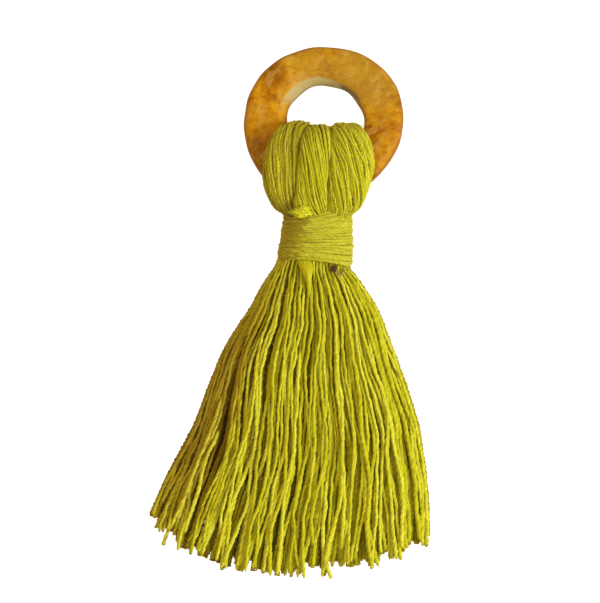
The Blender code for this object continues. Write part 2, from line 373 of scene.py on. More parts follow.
def yarn(name, deep, middle, pale, glow, flank_shade=0.0, sooner=0.0, ragged=0.0, at_throat=1.0):
    """Soft cotton yarn: matt, a little fuzzy, each strand a slightly different lime, with paler fibres
    running along the plies and a soft glow at its edges. Painted shade darkens it where its two plies
    meet. Down the tassel's left flank, which faces away from the lamps, painted shade tints it brown
    by this share, from this much further right and with this ragged an edge, and at_throat of it
    shows just under the binding."""
    material, tree, shader = new_material(name)
    node = partial(add, tree)
    # Patterns lie along the strand, in millimetres, and across it, in shares of its thickness.
    ply = node("Attribute", attribute_name="ply").outputs["Vector"]
    along = node("Attribute", attribute_name="along").outputs["Fac"]
    strand = node("Attribute", attribute_name="strand").outputs["Fac"]
    ply_parts = node("SeparateXYZ", {"Vector": ply})
    shifted = node("Math", (strand, 731.0, along), operation="MULTIPLY_ADD")
    down_strand = node(
        "CombineXYZ", {"X": ply_parts.outputs["X"], "Y": ply_parts.outputs["Y"], "Z": shifted}
    )
    fibre_place = node("Mapping", {"Vector": down_strand, "Scale": FIBRE_STREAK}, vector_type="TEXTURE")
    fibres = node("TexNoise", {"Vector": fibre_place, "Scale": 1.0, "Detail": 3.0, "Roughness": 0.65})
    tone_place = node("Mapping", {"Vector": down_strand, "Scale": TONE_PATCH}, vector_type="TEXTURE")
    tone = node("TexNoise", {"Vector": tone_place, "Scale": 1.0, "Detail": 2.0})
    strand_tone = node("Math", (strand, 0.45, tone), operation="MULTIPLY_ADD")
    dyed = node("ValToRGB", {"Fac": strand_tone}, stops=((0.42, deep), (0.68, middle), (0.95, pale)))
    fibre_light = node("MapRange", (fibres, 0.32, 0.70, 0.60, 1.30))
    # Painted shade between the two plies: darker where the section pinches in.
    out = node("VectorMath", {"Vector": ply}, operation="LENGTH").outputs["Value"]
    painted_ply_shade = node("MapRange", (out, 1 - PLY_WAIST, 0.97, 0.8))
    shade = node("Math", (fibre_light, painted_ply_shade), operation="MULTIPLY")
    lit = node("VectorMath", {"Vector": dyed, "Scale": shade}, operation="SCALE").outputs["Vector"]
    # Painted shade: tinted brown down the left flank, which faces away from the lamps, with less of it just
    # under the binding and towards the hem.
    if flank_shade:
        place = node("TexCoord").outputs["Object"]
        from_top = node("VectorMath", (place, FAN_TOP), operation="SUBTRACT")
        parts = node("SeparateXYZ", {"Vector": from_top})
        down = node("Math", (0.0, parts.outputs["Y"]), operation="SUBTRACT")
        bearing = node("Math", (parts.outputs["X"], down), operation="ARCTAN2")
        uneven = node("Math", (strand, FLANK_SHADE_RAGGED, bearing), operation="MULTIPLY_ADD")
        centred = node("Math", (tone, 0.5), operation="SUBTRACT")
        patchy = node("Math", (centred, ragged, uneven), operation="MULTIPLY_ADD")
        share = node(
            "MapRange",
            {
                "Value": patchy,
                "From Min": FLANK_SHADE_FROM + sooner,
                "From Max": FLANK_SHADE_FULL + sooner,
                "To Max": flank_shade,
            },
            interpolation_type="SMOOTHSTEP",
        )
        for (near, far), at_near, at_far in (
            (FLANK_SHADE_FADES, 1.0, FLANK_SHADE_AT_HEM),
            (FLANK_SHADE_STARTS, at_throat, 1.0),
        ):
            kept = node("MapRange", (down, near, far, at_near, at_far))
            share = node("Math", (share, kept), operation="MULTIPLY")
        brown = node(
            "Mix",
            {"Factor_Float": share, "A_Color": (1, 1, 1, 1), "B_Color": FLANK_SHADE_TINT},
            data_type="RGBA",
        )
        lit = node("VectorMath", (lit, brown), operation="MULTIPLY").outputs["Vector"]
    fuzzy = node("Bump", {"Strength": 0.8, "Distance": 0.08 * MM, "Height": fibres})
    plug(
        tree,
        shader,
        {
            "Base Color": lit,
            "Normal": fuzzy,
            "Roughness": 0.9,
            "Specular IOR Level": 0.2,
            "Subsurface Weight": 0.25,
            "Subsurface Radius": (1.0, 0.9, 0.2),
            "Subsurface Scale": 0.4 * MM,
            "Sheen Weight": glow,
            "Sheen Roughness": 0.5,
            "Sheen Tint": linear("#F0EA9A"),
        },
    )
    return material


SOCKET_KINDS = {float: "Float", int: "Int", type(None): "Material"}


def new_tree(name, sizes):
    """A Geometry Nodes tree with a named input for each of its sizes, and those inputs by name."""
    tree = bpy.data.node_groups.new(name, "GeometryNodeTree")
    tree.interface.new_socket("Geometry", in_out="OUTPUT", socket_type="NodeSocketGeometry")
    tree.interface.new_socket("Geometry", in_out="INPUT", socket_type="NodeSocketGeometry")
    for label, usual in sizes.items():
        kind = SOCKET_KINDS[type(usual)]
        tree.interface.new_socket(label, in_out="INPUT", socket_type="NodeSocket" + kind)
    given = tree.nodes.new("NodeGroupInput")
    return tree, {socket.name: socket for socket in given.outputs if socket.name}


def end_tree(tree, geometry, material):
    """Ends a tree in Set Material and Realize Instances."""
    painted = add(tree, "GeometryNodeSetMaterial", {"Geometry": geometry, "Material": material})
    whole = add(tree, "GeometryNodeRealizeInstances", {"Geometry": painted})
    tree.links.new(whole.outputs["Geometry"], tree.nodes.new("NodeGroupOutput").inputs["Geometry"])


USUAL_YARN = {
    "Radius": YARN_RADIUS,
    "Sides": 6,
    "Step": 0.40 * MM,
    "Ply Pitch": PLY_PITCH,
    "Ply Waist": PLY_WAIST,
    "Kink Size": 0.5 * MM,
    "Kink Length": 5.0 * MM,
    "Lumps": 0.5,
    "Seed": 1.0,
    "Material": None,
}


def sway(tree, cloud, amount):
    """An offset in every direction from a noise's colour, by up to half this amount."""
    centred = add(tree, "VectorMath", (cloud.outputs["Color"], (0.5, 0.5, 0.5)), operation="SUBTRACT")
    return add(tree, "VectorMath", {"Vector": centred, "Scale": amount}, operation="SCALE")


def plied_yarn_tree():
    """Turns lines into yarn: kinked a little, then given a two-lobed section that twists along it."""
    tree, given = new_tree("plied_yarn", USUAL_YARN)
    node = partial(add, tree)
    lines = node("GeometryNodeMeshToCurve", {"Mesh": given["Geometry"]})
    smooth = node("GeometryNodeCurveSplineType", {"Curve": lines}, spline_type="CATMULL_ROM")
    evened = {"Curve": smooth, "Length": given["Step"]}
    steps = node("GeometryNodeResampleCurve", evened, mode="LENGTH")
    strand = node("GeometryNodeInputNamedAttribute", {"Name": "strand"}, data_type="FLOAT")
    thick = node("GeometryNodeInputNamedAttribute", {"Name": "thick"}, data_type="FLOAT")
    own = node("Math", (strand, 97.0, given["Seed"]), operation="MULTIPLY_ADD")
    place = node("GeometryNodeInputPosition")
    per_kink = node("Math", (1.0, given["Kink Length"]), operation="DIVIDE")
    wander = node(
        "TexNoise", {"Vector": place, "W": own, "Scale": per_kink, "Detail": 2.0}, noise_dimensions="4D"
    )
    kink = sway(tree, wander, given["Kink Size"])
    kinked = node("GeometryNodeSetPosition", {"Geometry": steps, "Offset": kink})
    length = node("GeometryNodeSplineParameter").outputs["Length"]
    turns = node("Math", (length, given["Ply Pitch"]), operation="DIVIDE")
    turn = node("Math", (turns, tau, own), operation="MULTIPLY_ADD")
    twisted = node("GeometryNodeSetCurveTilt", {"Curve": kinked, "Tilt": turn})
    along = node("Math", (length, MM), operation="DIVIDE")
    marked = node(
        "GeometryNodeStoreNamedAttribute",
        {"Geometry": twisted, "Name": "along", "Value": along},
        data_type="FLOAT",
    )
    circle = node("GeometryNodeCurvePrimitiveCircle", {"Resolution": given["Sides"], "Radius": 1.0})
    waisted = node("SeparateXYZ", {"Vector": place}).outputs["Y"]
    squared = node("Math", (waisted, waisted), operation="MULTIPLY")
    pinch = node("Math", (squared, given["Ply Waist"]), operation="MULTIPLY")
    kept = node("Math", (1.0, pinch), operation="SUBTRACT")
    lobe = node("VectorMath", {"Vector": place, "Scale": kept}, operation="SCALE")
    lobes = node("GeometryNodeSetPosition", {"Geometry": circle, "Position": lobe})
    section = node(
        "GeometryNodeStoreNamedAttribute",
        {"Geometry": lobes, "Name": "ply", "Value": place},
        data_type="FLOAT_VECTOR",
    )
    lumpy = node(
        "TexNoise", {"Vector": place, "W": own, "Scale": per_kink, "Detail": 1.0}, noise_dimensions="4D"
    )
    lump = node("Math", (lumpy, 0.5), operation="SUBTRACT")
    swell = node("Math", (lump, given["Lumps"], 1.0), operation="MULTIPLY_ADD")
    sized = node("Math", (thick, given["Radius"]), operation="MULTIPLY")
    size = node("Math", (sized, swell), operation="MULTIPLY")
    solid = node(
        "GeometryNodeCurveToMesh",
        {"Curve": marked, "Profile Curve": section, "Scale": size, "Fill Caps": True},
    )
    end_tree(tree, solid, given["Material"])
    return tree


PLIED_YARN = plied_yarn_tree()
Line = namedtuple("Line", "points thick strand")


def line_mesh(lines):
    """A mesh of bare edges, one chain for each line, with its strand number and its thickness."""
    points, edges, strands, thicks = [], [], [], []
    for line in lines:
        first = len(points)
        points += line.points
        edges += [(k, k + 1) for k in range(first, len(points) - 1)]
        strands += [line.strand] * len(line.points)
        thicks += line.thick
    mesh = bpy.data.meshes.new("lines")
    mesh.from_pydata(points, edges, [])
    for name, values in (("strand", strands), ("thick", thicks)):
        mesh.attributes.new(name, "FLOAT", "POINT").data.foreach_set("value", values)
    return mesh


def grown(name, mesh, tree, sizes, lowest):
    """A piece from the plain mesh that a Geometry Nodes tree makes, with none of it below lowest."""
    source = new_piece(name + "_source", mesh)
    modifier = source.modifiers.new("grow", "NODES")
    modifier.node_group = tree
    sockets = {item.name: item.identifier for item in tree.interface.items_tree if item.in_out == "INPUT"}
    for label, value in sizes.items():
        modifier[sockets[label]] = value
    made = finished(source)
    for vertex in made.vertices:
        vertex.co.z = max(vertex.co.z, lowest)
    return new_piece(name, made)


def lay_yarn(name, lines, material, node="yarn_hank", slot="hank_yarn", **own_sizes):
    """One piece of yarn along these lines, riding with the tassel in place of a CAD node."""
    sizes = {**USUAL_YARN, "Material": material}
    sizes.update({label.replace("_", " ").title(): value for label, value in own_sizes.items()})
    piece = grown(name, line_mesh(lines), PLIED_YARN, sizes, 0.0)
    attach(piece, "root")
    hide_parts(node)


def on_section(turn, half_width, half_height):
    """The place at this turn round a flattened, slightly squared section."""
    across, up = sin(turn), cos(turn)
    out = abs(across) ** HEAD_SECTION_POWER + abs(up) ** HEAD_SECTION_POWER
    squared = out ** (-1 / HEAD_SECTION_POWER)
    return across * squared * half_width, up * squared * half_height


def lock_rings(lock):
    """(middle, half width, half thickness, direction out from the bar) down the front from the neck
    to the fold, and on behind the bar to the neck again."""
    front = [(Vector((s.x, s.y, s.front)) * MM, s) for s in lock.stations]
    behind = [(Vector((s.x, s.y, s.back)) * MM, s) for s in lock.stations[-2::-1]]
    middles = front + behind
    rings = []
    for k, (middle, station) in enumerate(middles):
        before = middles[max(0, k - 1)][0]
        after = middles[min(len(middles) - 1, k + 1)][0]
        way = after - before
        out = Vector((0.0, -way.z, way.y)).normalized()
        rings.append((middle, station.half_width * MM, station.half_height * MM, out))
    return rings


def lock_lines(lock, rng, share, strands, thick):
    """The strands of one shell of a lock, share of the way out from its middle."""
    rings = lock_rings(lock)
    last = len(rings) - 1
    lines = []
    for i in range(strands):
        start = tau * (i + rng.uniform(-0.28, 0.28)) / strands
        reach = share * rng.uniform(0.93, 1.04)
        girth = rng.uniform(0.88, 1.12)
        points, thicks = [], []
        for k, (middle, half_width, half_height, out) in enumerate(rings):
            turn = start - lock.twist * 2 * k / last + rng.uniform(-0.07, 0.07)
            across, up = on_section(turn, half_width * reach, half_height * reach)
            point = middle + Vector((across, 0, 0)) + out * up
            point.z = max(point.z, HEAD_YARN_RADIUS)
            points.append(point)
            nearness = min(k, last - k)
            thinned = NECK_THINNING[nearness] if nearness < len(NECK_THINNING) else 1.0
            thicks.append(thick * girth * thinned)
        lines.append(Line(points, thicks, rng.random()))
    return lines


lime_yarn = yarn("soft_cotton_yarn_lime", "#BAB512", "#CECA1C", "#E1DF42", 0.2)
# Painted shade: the left lock lies on the shaded side, so its yarn is a darker copy of the lime, with some
# painted flank shade as well.
left_lock_shaded_yarn = yarn("soft_cotton_yarn_lime_left_lock_shade", "#A69C0C", "#BAB216", "#D2CC38", 0.2, flank_shade=0.3)
rng = Random(11)
for lock in LOCKS:
    lines = lock_lines(lock, rng, 1.0, lock.strands, 1.0)
    material = left_lock_shaded_yarn if lock.name == "left" else lime_yarn
    lay_yarn(
        "head_lock_" + lock.name, lines, material,
        radius=HEAD_YARN_RADIUS, sides=6, kink_size=0.45 * MM, kink_length=3.0 * MM, step=0.42 * MM,
    )
core = []
for lock in LOCKS:
    core += lock_lines(lock, rng, 0.82, lock.strands * 2 // 3, 1.4)
    core += lock_lines(lock, rng, 0.50, lock.strands // 3, 1.8)
lay_yarn(
    "head_inner_yarn", core, lime_yarn,
    radius=HEAD_YARN_RADIUS, sides=6, step=0.9 * MM, ply_waist=0.1, kink_size=0.2 * MM,
)


# ---- The skirt -----------------------------------------------------------------------------------
# The same turns of yarn below the binding, cut through at the hem: some 300 ends that fan out and
# lie in a flat heap, kinked from the skein, drawn together in uneven clumps and cut by eye.

NECK_HALF_WIDTH = 5.0 * MM
NECK_HALF_HEIGHT = 3.6 * MM
NECK_MIDDLE = Vector((-0.6 * MM, 1.0 * MM, 5.8 * MM))
THROAT_HALF_WIDTH = 7.4 * MM
THROAT_HALF_HEIGHT = 4.7 * MM
THROAT_MIDDLE = Vector((-1.25 * MM, -6.0 * MM, 6.0 * MM))
FIRST_DISTANCE = 17.5 * MM
LAST_DISTANCE = 67.0 * MM
SKIRT_STATIONS = 14
FINE_ANGLE = radians(0.25)
WIDEST_ANGLE = radians(45)
CLUMPS_ACROSS = 11.0
CLUMP_PULL = 0.028
CLUMP_LENGTH = 26 * MM
WANDER = 1.15 * MM
WANDER_LENGTH = 14 * MM
TEETH_ACROSS = 11.5
TOOTH_UNEVEN = 2.0 * MM
NOTCH_DEPTH = 1.6 * MM
NOTCH_SHARE = 0.24
TOOTH_PULL = 0.32
BUNCHED_LEFT = 1.65
BUNCHED_RIGHT = 0.3
HOLLOW_AT = -0.75
HOLLOW_HALF_WIDTH = 0.075
HOLLOW_PUSH = 0.045
HOLLOW_DOWN = 53 * MM
HOLLOW_HALF_LENGTH = 11 * MM
HEM_SAMPLES = 60
HEM_EVENED_OVER = 3.5
NECK_FILL = 0.97
EDGE_MARGIN = 0.3 * MM
BLUNT_END = 0.3 * MM
STRAY_LIFT = 0.15 * MM
STRAY_DROOP = 0.92
STRAY_BURIED = (2.4 * MM, 0.4 * MM)

# How much lower the real ends hang than the CAD outline: share from left, -1, to right, and mm.
HEM_DROPS = (
    (-1.0, -0.8), (-0.85, 0.7), (-0.62, 2.9), (-0.3, 2.0), (0.0, 0.7), (0.15, 1.6), (0.5, 1.6), (1.0, 1.2)
)

# The heap in layers, from the top down: how many strands, their height in it at the binding and at
# the hem, from 0 on the table to 1 at the crown, their thickness and how freely they wander. The
# throat has room on top for a third of the crown's strands, so the others come up further down.
Layer = namedtuple("Layer", "name strands at_binding at_hem girth wander")
LAYERS = (
    Layer("crown", 64, (0.94, 1.0), (0.88, 1.03), 0.93, 1.4),
    Layer("upper", 32, (0.60, 0.80), (0.76, 0.92), 0.97, 1.1),
    Layer("middle", 76, (0.55, 0.88), (0.64, 0.84), 1.1, 0.7),
    Layer("lower", 60, (0.08, 0.58), (0.12, 0.58), 1.35, 0.4),
    Layer("bed", 70, (0.0, 0.10), (0.0, 0.12), 1.65, 0.15),
)
EMERGENCE = ((0.0, 0.0), (0.20, 23 * MM), (0.34, 36 * MM))
EMERGING_OVER = 14 * MM


def surface_of(node):
    """A CAD node's surface, for finding where it lies."""
    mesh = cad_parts[node].data
    return BVHTree.FromPolygons([v.co for v in mesh.vertices], [f.vertices for f in mesh.polygons])


hank = surface_of("yarn_hank")


def on_fan(angle, distance):
    """The place at this angle and distance from the top of the fan, on the table."""
    return FAN_TOP + Vector((sin(angle), -cos(angle), 0.0)) * distance


def crown_over(place):
    """How high the hank rises over this place on the surface, or None beside the hank."""
    hit = hank.ray_cast(Vector((place.x, place.y, 50 * MM)), Vector((0, 0, -1)))[0]
    return hit.z if hit else None


def fan_edges(distance):
    """The angles of the skirt's left and right edge at this distance from the top of the fan."""
    steps = int(WIDEST_ANGLE / FINE_ANGLE)
    angles = [k * FINE_ANGLE for k in range(-steps, steps + 1)]
    covered = [a for a in angles if crown_over(on_fan(a, distance)) is not None]
    return covered[0], covered[-1]


def hem_distance(angle):
    """How far from the top of the fan the hank's cut end is, in this direction."""
    far = LAST_DISTANCE
    while crown_over(on_fan(angle, far)) is not None:
        far += 0.25 * MM
    return far


distances = [
    FIRST_DISTANCE + (LAST_DISTANCE - FIRST_DISTANCE) * k / (SKIRT_STATIONS - 1)
    for k in range(SKIRT_STATIONS)
]
edges = [fan_edges(distance) for distance in distances]
edges.append(tuple(2 * a - b for a, b in zip(edges[-1], edges[-2])))
left_edge, right_edge = edges[-2]
hem_reach = [
    hem_distance(left_edge + (right_edge - left_edge) * (k + 0.5) / HEM_SAMPLES) for k in range(HEM_SAMPLES)
]


def hem_at(share):
    """The hem's distance at this share from left, -1, to right, 1, evened out over a few clumps."""
    middle = (share + 1) / 2 * HEM_SAMPLES
    near = [r for k, r in enumerate(hem_reach) if abs(k + 0.5 - middle) < HEM_EVENED_OVER]
    return sum(near) / len(near)


def hem_drop(share):
    """How much lower the ends hang at this share of the hem."""
    for (low, at_low), (high, at_high) in zip(HEM_DROPS, HEM_DROPS[1:]):
        if share <= high:
            break
    return (at_low + (at_high - at_low) * (share - low) / (high - low)) * MM


def bunched(share, spread):
    """A strand's place across the skirt. They run down bunched towards the left edge, and open out."""
    pull = (BUNCHED_LEFT if share < 0 else BUNCHED_RIGHT) * max(0.05, 1 - spread)
    return tanh(pull * share) / tanh(pull)


def beside_hollow(share, across, distance):
    """A top strand's place across, pushed off the hollow that has opened near the left flank."""
    off = (across - HOLLOW_AT) / HOLLOW_HALF_WIDTH
    down = (distance - HOLLOW_DOWN) / HOLLOW_HALF_LENGTH
    half_way = (HOLLOW_DOWN - FIRST_DISTANCE) / (LAST_DISTANCE - FIRST_DISTANCE)
    push = HOLLOW_PUSH if bunched(share, half_way) > HOLLOW_AT else -HOLLOW_PUSH
    return across + push * exp(-off * off - down * down)


def skirt_line(share, at_binding, at_hem, girth, wander, emerges, rng):
    """One strand from inside the neck to its cut end. share is its place across, from -1 to 1, and
    it has come up to its own height by the distance at which it emerges."""
    number = rng.random()
    across = NECK_FILL * bunched(share, -0.1)
    up = (2 * at_binding - 1) * sqrt(1 - across**2)
    points = [
        NECK_MIDDLE + Vector((across * NECK_HALF_WIDTH, 0, up * NECK_HALF_HEIGHT)),
        THROAT_MIDDLE + Vector((across * THROAT_HALF_WIDTH, 0, up * THROAT_HALF_HEIGHT)),
    ]
    tooth = share * TEETH_ACROSS + 0.9 * noise.noise(Vector((share * 6.0, 0.4, 5.5)))
    whole = tooth // 1
    within = tooth - whole
    notch = max(0.0, 1 - min(within, 1 - within) / NOTCH_SHARE) * (1.15 - 0.6 * max(0.0, share))
    uneven = noise.noise(Vector((whole * 3.7, 1.2 * at_hem, 5.5)))
    end = hem_at(share) + hem_drop(share) + TOOTH_UNEVEN * uneven - NOTCH_DEPTH * notch
    end += rng.uniform(-0.3, 0.3) * MM
    stations = [(d, e) for d, e in zip(distances, edges) if d < end - 2 * MM] + [(end, edges[-1])]
    for distance, (left, right) in stations:
        spread = (distance - FIRST_DISTANCE) / (LAST_DISTANCE - FIRST_DISTANCE)
        clump = noise.noise(Vector((share * CLUMPS_ACROSS, distance / CLUMP_LENGTH, 3.7)))
        own = wander * noise.noise(Vector((number * 91.0, distance / WANDER_LENGTH, 8.1)))
        pulled = bunched(share, spread) + CLUMP_PULL * clump * (0.3 + spread) * min(1.0, wander)
        pulled += TOOTH_PULL * (0.5 - within) / TEETH_ACROSS * max(0.0, spread) ** 6 * min(1.0, wander)
        if wander >= 1:
            pulled = beside_hollow(share, pulled, distance)
        own_way = own * WANDER * (0.25 + spread) / distance
        angle = (left + right) / 2 + pulled * (right - left) / 2 + own_way
        angle = min(right - EDGE_MARGIN / distance, max(left + EDGE_MARGIN / distance, angle))
        place = on_fan(angle, distance)
        top = crown_over(place) or crown_over(on_fan(angle, min(distance, LAST_DISTANCE))) or 4.0 * MM
        risen = min(1.0, max(0.0, 1 + (distance - emerges) / EMERGING_OVER))
        level = at_binding + (at_hem - at_binding) * risen * risen * (3 - 2 * risen)
        lift = 0.4 * MM * noise.noise(Vector((number * 57.0, distance / WANDER_LENGTH, 1.3)))
        place.z = YARN_RADIUS + max(0.0, (top - 2 * YARN_RADIUS) * level + lift)
        points.append(place)
    way = (points[-1] - points[-2]).normalized()
    points.append(points[-1] + way * BLUNT_END)
    girth *= 1.0 + 0.12 * max(0.0, share)
    loosened = [girth * (1 + 0.2 * k / len(points)) for k in range(3, len(points) - 1)]
    thicks = [girth * 0.8, girth * 0.85, girth * 0.95] + loosened + [girth * 0.75]
    return Line(points, thicks, number)


rng = Random(29)
layers = {}
for layer in LAYERS:
    step = 2 / layer.strands
    layers[layer.name] = []
    for k in range(layer.strands):
        share = -1 + step * (k + 0.5 + rng.uniform(-0.33, 0.33))
        below, emerges = EMERGENCE[k % 3] if layer.name == "crown" else (0.0, 32 * MM)
        layers[layer.name].append(
            skirt_line(
                share,
                rng.uniform(*layer.at_binding) - below,
                rng.uniform(*layer.at_hem),
                layer.girth * rng.uniform(0.84, 1.12),
                layer.wander,
                emerges,
                rng,
            )
        )

# Three strands have come away from the rest: two lie over the left flank, and one is left long.
# Their ways, x and y in millimetres, start buried in the skirt.
STRAY_WAYS = (
    (
        (-18.7, -29.8), (-19.7, -33.3), (-20.8, -36.8), (-22.4, -41.0), (-24.8, -47.0),
        (-26.2, -50.8), (-28.1, -55.2), (-29.8, -58.5), (-31.0, -61.2),
    ),
    (
        (-19.0, -37.4), (-21.0, -41.2), (-22.6, -45.0), (-23.4, -48.6), (-24.6, -52.4),
        (-25.9, -56.4), (-26.5, -58.4),
    ),
    (
        (1.8, -47.0), (1.5, -51.0), (1.1, -56.0), (0.9, -60.0), (1.1, -63.0), (1.8, -65.6), (2.5, -67.9),
    ),
)
strays = []
for way in STRAY_WAYS:
    points = []
    for x, y in way:
        place = Vector((x, y, 0.0)) * MM
        place.z = (crown_over(place) or points[-1].z * STRAY_DROOP) + STRAY_LIFT
        points.append(place)
    for point, depth in zip(points, STRAY_BURIED):
        point.z -= depth
    points.append(points[-1] + (points[-1] - points[-2]).normalized() * BLUNT_END)
    strays.append(Line(points, [1.1] * (len(points) - 1) + [0.85], 0.93))

# The skirt's top yarn carries painted shade down its left flank.
skirt_yarn = yarn(
    "soft_cotton_yarn_lime_flank_shaded", "#BEB913", "#D2CE1D", "#E4E244", 0.2,
    flank_shade=0.9, sooner=radians(1.5), ragged=radians(12), at_throat=0.25,
)
# Painted shade: the yarn under the top layers is a darker copy of the lime, for the shade it lies in, with
# full painted flank shade.
shaded_inner_yarn = yarn(
    "soft_cotton_yarn_inner_shaded", "#988C06", "#A89E0A", "#BAB21A", 0.1,
    flank_shade=1.0, sooner=radians(7), ragged=radians(12), at_throat=0.7,
)
for name, lines, material, step, kink_size in (
    ("skirt_upper_yarn", strays + layers["crown"] + layers["upper"], skirt_yarn, 0.4 * MM, 0.9 * MM),
    ("skirt_middle_yarn", layers["middle"], shaded_inner_yarn, 0.6 * MM, 0.9 * MM),
    ("skirt_lower_yarn", layers["lower"] + layers["bed"], shaded_inner_yarn, 0.9 * MM, 0.4 * MM),
):
    lay_yarn(
        name, lines, material,
        step=step, kink_size=kink_size, kink_length=2.7 * MM,
    )


# ---- The binding ---------------------------------------------------------------------------------
# The neck is wound with the same yarn, two layers of some seventeen turns side by side, the upper
# ones rising to the right and the lower ones falling, and then a few turns laid slantwise on top.

BINDING_YARN_RADIUS = 0.38 * MM
BINDING_PITCH = 0.56 * MM
BINDING_POINTS_PER_TURN = 48
SLANT_AT_MIDDLE = 0.04
SLANT_PER_MM = 0.036
SLANT_FROM = 2.0 * MM
SAG_AT_RIGHT = 1.8

binding = surface_of("neck_binding")
binding_low, binding_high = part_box("neck_binding")


def on_binding(y, turn, depth):
    """The point at this turn round the neck, this far below the binding's surface."""
    inner = Vector(((binding_low.x + binding_high.x) / 2, y, binding_high.z / 2))
    outwards = Vector((cos(turn), 0.0, sin(turn)))
    cast = min(binding_high.y - 0.5 * MM, max(binding_low.y + 0.5 * MM, y))
    start = Vector((inner.x, cast, inner.z)) + outwards * 30 * MM
    hit = binding.ray_cast(start, -outwards)[0]
    reach = (Vector((hit.x, 0, hit.z)) - Vector((inner.x, 0, inner.z))).length
    point = inner + outwards * (reach - depth)
    point.z = max(point.z, BINDING_YARN_RADIUS)
    return point


def wound(first_y, turns, pitch, depth, slant, rng, start=0.0):
    """A line wound round the neck from first_y downwards, each turn a little uneven."""
    points = []
    number = rng.random()
    for k in range(int(turns * BINDING_POINTS_PER_TURN) + 1):
        turn = start + tau * k / BINDING_POINTS_PER_TURN
        y = first_y - pitch * k / BINDING_POINTS_PER_TURN
        uneven = noise.noise(Vector((cos(turn) * 1.3, sin(turn) * 1.3, y / (1.1 * MM) + number * 40)))
        point = on_binding(y, turn, depth + 0.14 * MM * uneven)
        facing = max(0.0, sin(turn)) ** 0.6
        slope = SLANT_AT_MIDDLE + SLANT_PER_MM * y / MM + slant
        if slope < 0 and point.x > SLANT_FROM:
            slope *= SAG_AT_RIGHT
        point.y += slope * (point.x - SLANT_FROM) * facing + 0.22 * MM * uneven
        points.append(point)
    return Line(points, [1.0 + 0.12 * sin(0.37 * k) for k in range(len(points))], number)


# The binding's yarn carries painted shade over its left third.
binding_yarn = yarn(
    "soft_cotton_yarn_binding", "#A9A516", "#BBB71F", "#C9C73D", 0.2,
    flank_shade=0.62, sooner=radians(6), ragged=radians(75),
)
rng = Random(5)
turns = (binding_high.y - binding_low.y - 2 * BINDING_YARN_RADIUS) / BINDING_PITCH
binding_lines = [
    wound(binding_high.y - BINDING_YARN_RADIUS, turns, BINDING_PITCH, BINDING_YARN_RADIUS, 0.0, rng, 0.4),
    wound(binding_high.y - 0.6 * MM, turns - 0.5, BINDING_PITCH, 1.05 * MM, 0.0, rng, 2.4),
    wound(4.2 * MM, 3.3, 1.15 * MM, 0.36 * MM, 0.04, rng, 3.6),
    wound(-1.2 * MM, 3.5, 1.0 * MM, 0.36 * MM, -0.04, rng, 3.9),
]
lay_yarn(
    "neck_binding_turns", binding_lines, binding_yarn, "neck_binding", "binding_yarn",
    radius=BINDING_YARN_RADIUS, sides=8, step=0.42 * MM, ply_pitch=3.0 * MM, ply_waist=0.14,
    kink_size=0.18 * MM, kink_length=2.2 * MM, lumps=0.35,
)


# ---- Loose ends of yarn --------------------------------------------------------------------------
# The binding's own end is pulled through at the top and brushed out into a small bright tuft. At the
# foot one yarn has lost its twist and lies flat, and a scrap of dark thread is snagged, with some
# pale fibres.

TUFT_FIBRES = 150
TUFT_ROOT = Vector((-1.9, 4.9, 12.0)) * MM
TUFT_TIP = Vector((-5.8, 4.9, 11.6)) * MM
TUFT_LIFT = 1.5 * MM
BROAD_FIBRES = 11
BROAD_WAY = (
    (-2.6, -4.2, 9.9), (-2.5, -5.4, 10.9), (-2.2, -6.8, 11.8), (-1.9, -8.6, 12.2), (-1.8, -11.6, 11.6)
)
BROAD_HALF_WIDTHS = (1.45, 1.25, 0.85, 0.45, 0.12)
SNAG_MIDDLE = Vector((3.0, -6.2, 10.9)) * MM
SNAG_POINTS = 34
PALE_FIBRES = 10


def tuft_line(share, rng):
    """One brushed-out bundle of fibres, from the top of the binding out to the tuft's ragged edge."""
    upper = share * 2 - 1
    root = TUFT_ROOT + Vector((rng.uniform(-1.3, 0.9), 0.4 * upper + rng.uniform(-0.3, 0.3), -0.9)) * MM
    short = rng.uniform(-0.3, 1.4) + 2.4 * max(0.0, upper) ** 1.5 + 1.2 * max(0.0, -upper)
    rise = 1.25 * upper if upper > 0 else 0.6 * upper
    end = TUFT_TIP + Vector((short, rise + rng.uniform(-0.15, 0.15), 0)) * MM
    points = []
    for k in range(6):
        t = k / 5
        point = root.lerp(end, t)
        bow = sin(pi * t)
        point.y += upper * 0.35 * MM * bow
        point.z += TUFT_LIFT * bow * rng.uniform(0.55, 1.05) - 0.6 * MM * t * t
        point += Vector([rng.uniform(-0.16, 0.16) * MM for _ in range(3)])
        points.append(point)
    return Line(points, [0.8, 1.1, 1.2, 1.1, 0.85, 0.3], rng.random())


rng = Random(17)
tuft = [tuft_line((k + 0.5) / TUFT_FIBRES, rng) for k in range(TUFT_FIBRES)]

# Brushed out, the cotton scatters more light, so the tuft is the brightest yarn of all.
bright_yarn = yarn("brushed_cotton_end_lime", "#E6E404", "#F0EE0C", "#F6F42C", 0.5)
lay_yarn(
    "binding_tuft", tuft, bright_yarn, "neck_binding", "binding_yarn",
    radius=0.10 * MM, sides=4, step=0.25 * MM, ply_waist=0.0,
    kink_size=0.50 * MM, kink_length=1.9 * MM, lumps=0.9,
)

broad = []
for k in range(BROAD_FIBRES):
    across = 2 * k / (BROAD_FIBRES - 1) - 1
    points = [
        Vector((x + across * half, y, z - 0.5 * across * across)) * MM
        for (x, y, z), half in zip(BROAD_WAY, BROAD_HALF_WIDTHS)
    ]
    broad.append(Line(points, [1.0, 1.0, 0.9, 0.8, 0.4], (0.37 * k) % 1.0))

